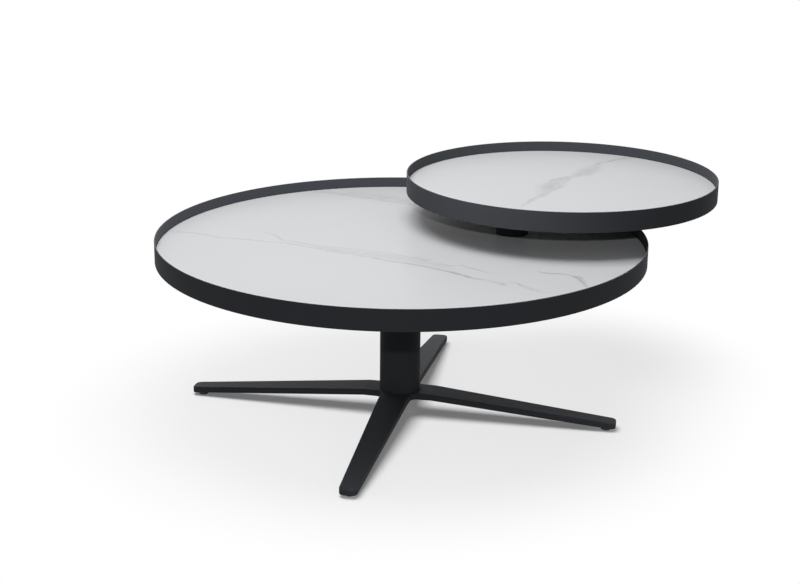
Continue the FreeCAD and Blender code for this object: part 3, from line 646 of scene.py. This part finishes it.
# %% Turned brass
TURNING_MM = 3.77
TARNISH_MM = 5
WAVE_RADIANS = 20  # per metre, in a wave texture with a scale of 1

brass, tree = new_material("turned_brass")
place = add_node(tree, "ShaderNodeTexCoord", {}).outputs["Object"]
rings = add_node(
    tree, "ShaderNodeTexWave",
    {"Vector": place, "Scale": per_metre(TURNING_MM) * math.tau / WAVE_RADIANS, "Distortion": 0.3},
    bands_direction="Z",
)
tarnish = add_node(tree, "ShaderNodeTexNoise", {"Vector": place, "Scale": per_metre(TARNISH_MM)})
tint = add_node(
    tree, "ShaderNodeMix",
    {0: tarnish.outputs[0], 6: linear("#a8874a"), 7: linear("#cbab67")}, data_type="RGBA",
)
gloss = add_node(tree, "ShaderNodeMapRange", {"Value": rings.outputs["Fac"], "To Min": 0.26, "To Max": 0.4})
grooves = add_node(
    tree, "ShaderNodeBump", {"Height": rings.outputs["Fac"], "Strength": 0.2, "Distance": 0.05 * MM},
)
turned = add_node(tree, "ShaderNodeBsdfPrincipled", {
    "Base Color": tint.outputs[2], "Metallic": 1.0, "Roughness": gloss.outputs[0],
    "Normal": grooves.outputs[0],
})
add_node(tree, "ShaderNodeOutputMaterial", {"Surface": turned.outputs[0]})
dress(["large_board_inserts", "small_board_inserts"], brass)

# %% [markdown]
# ## Silicone
# The stones lie on soft dots of milky silicone, which let a little light through and blur it. Part
# transmission does that here, with a slightly cloudy tint as in poured rubber.

# %% Poured silicone
MILK_MM = 4

silicone, tree = new_material("poured_silicone")
place = add_node(tree, "ShaderNodeTexCoord", {}).outputs["Object"]
milk = add_node(tree, "ShaderNodeTexNoise", {"Vector": place, "Scale": per_metre(MILK_MM), "Detail": 2.0})
tint = add_node(
    tree, "ShaderNodeMix",
    {0: milk.outputs[0], 6: linear("#b9bec0"), 7: linear("#d3d6d6")}, data_type="RGBA",
)
gloss = add_node(tree, "ShaderNodeMapRange", {"Value": milk.outputs[0], "To Min": 0.34, "To Max": 0.5})
poured = add_node(tree, "ShaderNodeBsdfPrincipled", {
    "Base Color": tint.outputs[2], "Roughness": gloss.outputs[0], "IOR": 1.41, "Transmission Weight": 0.35,
})
add_node(tree, "ShaderNodeOutputMaterial", {"Surface": poured.outputs[0]})
dress(["large_stone_pads", "small_stone_pads"], silicone)

# %% [markdown]
# ## Button-head screws
# The plates are held to the tops by button-head screws with a hexagon socket, and the glides by
# smaller ones. The CAD model has them as cones and cylinders. Here the outline of half a screw is
# spun round its axis, so the head is domed and the tip chamfered, and the hexagon is bridged to the
# ring that the spin leaves open, then extruded into the head. The screws point upwards.

# %% From a shape to a piece
SHARP_ANGLE = math.radians(32)


def new_piece(name, shape, material, body, slot, *replaced):
    """Makes a bmesh a piece that rides on a body, and hides the CAD nodes that it replaces."""
    bmesh.ops.recalc_face_normals(shape, faces=shape.faces)
    mesh = bpy.data.meshes.new(name)
    shape.to_mesh(mesh)
    shape.free()
    mesh.shade_smooth()
    mesh.set_sharp_from_angle(angle=SHARP_ANGLE)
    mesh.materials.append(material)
    piece = bpy.data.objects.new(name, mesh)
    scene.collection.objects.link(piece)
    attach(piece, body)
    if replaced:
        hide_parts(*replaced)
    print(f"{name}: {len(mesh.polygons)} faces on {body}")


def copy_to(shape, places):
    """Moves a shape from the origin to the first place, and copies of it to the others."""
    whole = shape.verts[:] + shape.edges[:] + shape.faces[:]
    first = shape.verts[:]
    for place in places[1:]:
        copy = bmesh.ops.duplicate(shape, geom=whole)["geom"]
        corners = [part for part in copy if isinstance(part, bmesh.types.BMVert)]
        bmesh.ops.translate(shape, verts=corners, vec=place)
    bmesh.ops.translate(shape, verts=first, vec=places[0])


print(f"edges of more than {math.degrees(SHARP_ANGLE):.0f} degrees stay crisp")

# %% Shape of a button-head screw
SPIN_STEPS = 24
MERGE = 0.001 * MM
SOCKET_DEPTH = 0.6  # of the head's height


def spin_outline(shape, outline_mm):
    """Spins points of radius and height in mm round the z axis, and returns the edges left open."""
    points = [shape.verts.new((radius * MM, 0, height * MM)) for radius, height in outline_mm]
    lines = [shape.edges.new(pair) for pair in zip(points, points[1:])]
    bmesh.ops.spin(
        shape, geom=points + lines, cent=(0, 0, 0), axis=(0, 0, 1), angle=math.tau, steps=SPIN_STEPS,
        use_merge=True,
    )
    bmesh.ops.remove_doubles(shape, verts=shape.verts, dist=MERGE)
    return [edge for edge in shape.edges if edge.is_boundary]


def make_button_screw(thread, length, head, height, socket):
    """Screw with its seat at the origin and its head below; sizes in mm, socket across flats."""
    shape = bmesh.new()
    # from the chamfered tip down the thread to the seat, then round the dome to the socket
    ring = spin_outline(shape, [
        (0, length), (0.35 * thread, length), (0.5 * thread, length - 0.15 * thread), (0.5 * thread, 0),
        (0.5 * head, 0), (0.5 * head, -0.15 * height), (0.46 * head, -0.6 * height),
        (0.4 * head, -0.9 * height), (0.33 * head, -height),
    ])
    hexagon = bmesh.ops.create_circle(
        shape, segments=6, radius=socket / math.sqrt(3) * MM,
        matrix=Matrix.Translation((0, 0, -height * MM)),
    )["verts"]
    rim = list(dict.fromkeys(edge for corner in hexagon for edge in corner.link_edges))
    bmesh.ops.bridge_loops(shape, edges=ring + rim)
    walls = bmesh.ops.extrude_edge_only(shape, edges=rim)["geom"]
    floor_corners = [part for part in walls if isinstance(part, bmesh.types.BMVert)]
    bmesh.ops.translate(shape, verts=floor_corners, vec=(0, 0, SOCKET_DEPTH * height * MM))
    bmesh.ops.contextual_create(shape, geom=floor_corners)
    return shape


print(f"a screw is spun in {SPIN_STEPS} steps")

# %% Button-head screws
M6_BUTTON_MM = {"thread": 6, "head": 10.5, "height": 3.3, "socket": 4}
M5_BUTTON_MM = {"thread": 5, "head": 9, "height": 2.6, "socket": 3}
CARRIER_ROW = 0.070
SWIVEL_ROW = 0.062
SWIVEL_SCREWS = 6
POST = Vector(frame["record"]["behaviour"]["joints"][0]["pos_m"])


def middle(name):
    """Middle of a CAD node's box."""
    low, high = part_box(name)
    return (low + high) / 2


carrier_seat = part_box("carrier_plate")[0].z
carrier_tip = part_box("carrier_screws")[1].z
screws = make_button_screw(length=(carrier_tip - carrier_seat) / MM, **M6_BUTTON_MM)
copy_to(screws, [
    Vector((x, y, carrier_seat)) for x, y in [
        (-CARRIER_ROW, 0), (0, CARRIER_ROW), (0, -CARRIER_ROW), (POST.x / 2, CARRIER_ROW),
        (POST.x / 2, -CARRIER_ROW), (POST.x, CARRIER_ROW), (POST.x, -CARRIER_ROW), (POST.x + CARRIER_ROW, 0),
    ]
])
new_piece("carrier_button_screws", screws, zinc, "stand", "zinc_plated_steel", "carrier_screws")

glide_low, glide_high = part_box("glide_screws")
glide_seat = glide_low.z + M5_BUTTON_MM["height"] * MM
screws = make_button_screw(length=(glide_high.z - glide_seat) / MM, **M5_BUTTON_MM)
copy_to(screws, [Vector((middle(name).x, middle(name).y, glide_seat)) for name in GLIDES])
new_piece("glide_button_screws", screws, zinc, "stand", "zinc_plated_steel", "glide_screws")

small_turn = math.atan2(middle("small_rim").y - POST.y, middle("small_rim").x - POST.x)
swivel_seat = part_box("swivel_plate")[0].z
swivel_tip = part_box("swivel_screws")[1].z
around = [small_turn + step * math.tau / SWIVEL_SCREWS for step in range(SWIVEL_SCREWS)]
screws = make_button_screw(length=(swivel_tip - swivel_seat) / MM, **M6_BUTTON_MM)
copy_to(screws, [
    Vector((POST.x + SWIVEL_ROW * math.cos(turn), POST.y + SWIVEL_ROW * math.sin(turn), swivel_seat))
    for turn in around
])
new_piece("swivel_button_screws", screws, zinc, "swivel_top", "zinc_plated_steel", "swivel_screws")

# %% [markdown]
# ## Hexagon bolts
# Four bolts hold the star base to the column, and a larger one keeps the spindle in the post. A
# forged head is turned to a cone at its free end, which cuts a scallop into each flat. A ring of
# sloping planes makes that cut here, each followed by a fill, and it gives the same scallops.

# %% Shape of a hexagon bolt
CHAMFER_PLANES = 18
CHAMFER_SLOPE = math.radians(30)
CHAMFER_START = 0.475  # of the width across flats
SHANK_SINK_MM = 0.2


def make_hexagon_bolt(thread, length, flats, height):
    """Bolt with its seat at the origin and its head below; sizes in mm, head across flats."""
    shape = bmesh.new()
    to_corner = flats / math.sqrt(3) * MM
    bmesh.ops.create_cone(
        shape, cap_ends=True, segments=6, radius1=to_corner, radius2=to_corner, depth=height * MM,
        matrix=Matrix.Translation((0, 0, -height / 2 * MM)),
    )
    for step in range(CHAMFER_PLANES):
        turn = step * math.tau / CHAMFER_PLANES
        outwards = Vector((math.cos(turn), math.sin(turn), 0))
        cut = bmesh.ops.bisect_plane(
            shape, geom=shape.verts[:] + shape.edges[:] + shape.faces[:],
            plane_co=CHAMFER_START * flats * MM * outwards - Vector((0, 0, height * MM)),
            plane_no=outwards * math.sin(CHAMFER_SLOPE) - Vector((0, 0, math.cos(CHAMFER_SLOPE))),
            clear_outer=True,
        )["geom_cut"]
        bmesh.ops.edgenet_fill(shape, edges=[part for part in cut if isinstance(part, bmesh.types.BMEdge)])
    # the shank, from just inside the head to its chamfered tip
    spin_outline(shape, [
        (0, -SHANK_SINK_MM), (0.5 * thread, -SHANK_SINK_MM), (0.5 * thread, length - 0.12 * thread),
        (0.38 * thread, length), (0, length),
    ])
    return shape


print(f"a bolt's head is chamfered by {CHAMFER_PLANES} planes")

# %% Hexagon bolts
M8_BOLT_MM = {"thread": 8, "flats": 13}
M12_BOLT_MM = {"thread": 12, "flats": 19}
BASE_BOLTS = 4
BOLT_ROW = 0.022

bolt_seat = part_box("base_washers")[0].z
bolt_low, bolt_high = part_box("base_bolts")
leg_turn = math.atan2(middle("glide_back").y, middle("glide_back").x)
bolts = make_hexagon_bolt(
    length=(bolt_high.z - bolt_seat) / MM, height=(bolt_seat - bolt_low.z) / MM, **M8_BOLT_MM,
)
copy_to(bolts, [
    Matrix.Rotation(leg_turn + step * math.tau / BASE_BOLTS, 3, "Z") @ Vector((BOLT_ROW, 0, bolt_seat))
    for step in range(BASE_BOLTS)
])
new_piece("base_hexagon_bolts", bolts, zinc, "stand", "zinc_plated_steel", "base_bolts")

keeper_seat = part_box("retaining_washer")[0].z
keeper_low, keeper_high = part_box("retaining_bolt")
keeper = make_hexagon_bolt(
    length=(keeper_high.z - keeper_seat) / MM, height=(keeper_seat - keeper_low.z) / MM, **M12_BOLT_MM,
)
copy_to(keeper, [Vector((POST.x, POST.y, keeper_seat))])
new_piece("spindle_hexagon_bolt", keeper, zinc, "swivel_top", "zinc_plated_steel", "retaining_bolt")

# %% [markdown]
# ## Wave washer
# A sprung ring between the retaining washer and the lower bush gives the small top its drag. It is
# stamped from thin strip and pressed into three waves. A flat ring is spun first, and its points are
# then raised and lowered by a sine of their angle, which stays inside the room that the CAD gives.

# %% Wave washer
WAVES = 3
STRIP_MM = 0.5
WAVE_STEPS = 72
SPINDLE_PLAY_MM = 0.5


def half_width(name):
    """Radius of a round CAD node."""
    low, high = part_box(name)
    return (high.x - low.x) / 2


wave_low, wave_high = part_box("wave_washer")
outer = half_width("wave_washer")
bore = half_width("spindle") + SPINDLE_PLAY_MM * MM
height = wave_high.z - wave_low.z
shape = bmesh.new()
corners = [
    shape.verts.new((radius, 0, level))
    for radius, level in [(bore, 0), (outer, 0), (outer, STRIP_MM * MM), (bore, STRIP_MM * MM)]
]
sides = [shape.edges.new((corners[i - 1], corners[i])) for i in range(4)]
bmesh.ops.spin(
    shape, geom=corners + sides, cent=(0, 0, 0), axis=(0, 0, 1), angle=math.tau, steps=WAVE_STEPS,
    use_merge=True,
)
bmesh.ops.remove_doubles(shape, verts=shape.verts, dist=MERGE)
rise = (height - STRIP_MM * MM) / 2
for point in shape.verts:
    point.co.z += rise * (1 + math.sin(WAVES * math.atan2(point.co.y, point.co.x)))
copy_to(shape, [Vector((POST.x, POST.y, wave_low.z))])
new_piece("three_wave_washer", shape, zinc, "swivel_top", "zinc_plated_steel", "wave_washer")

# %% [markdown]
# ## Weld under the large top
# The column is welded to the carrier plate all round, and the coat covers the weld. Such a bead is
# laid as a row of overlapping puddles, which look like fallen coins. One flattened ball is copied
# round the column by spin, each copy overlapping the one before.

# %% Weld bead
PUDDLE_MM = 2.2
PUDDLE_STEP_MM = 2.6
PUDDLE_SHIFT_MM = 0.5
PUDDLE_FORM = (1.0, 1.1, 0.8, 1.0)

column_radius = half_width("column_tube")
puddles = round(math.tau * column_radius / (PUDDLE_STEP_MM * MM))
shape = bmesh.new()
in_corner = Matrix.Translation(
    (column_radius + PUDDLE_SHIFT_MM * MM, 0, carrier_seat - PUDDLE_SHIFT_MM * MM)
)
bmesh.ops.create_icosphere(
    shape, subdivisions=1, radius=PUDDLE_MM * MM,
    matrix=in_corner @ Matrix.Rotation(math.pi / 4, 4, "Y") @ Matrix.Diagonal(PUDDLE_FORM),
)
bmesh.ops.spin(
    shape, geom=shape.verts[:] + shape.edges[:] + shape.faces[:], cent=(0, 0, 0), axis=(0, 0, 1),
    angle=math.tau * (puddles - 1) / puddles, steps=puddles - 1, use_duplicate=True,
)
new_piece("column_weld_bead", shape, powder_coat, "stand", "powder_coated_steel")
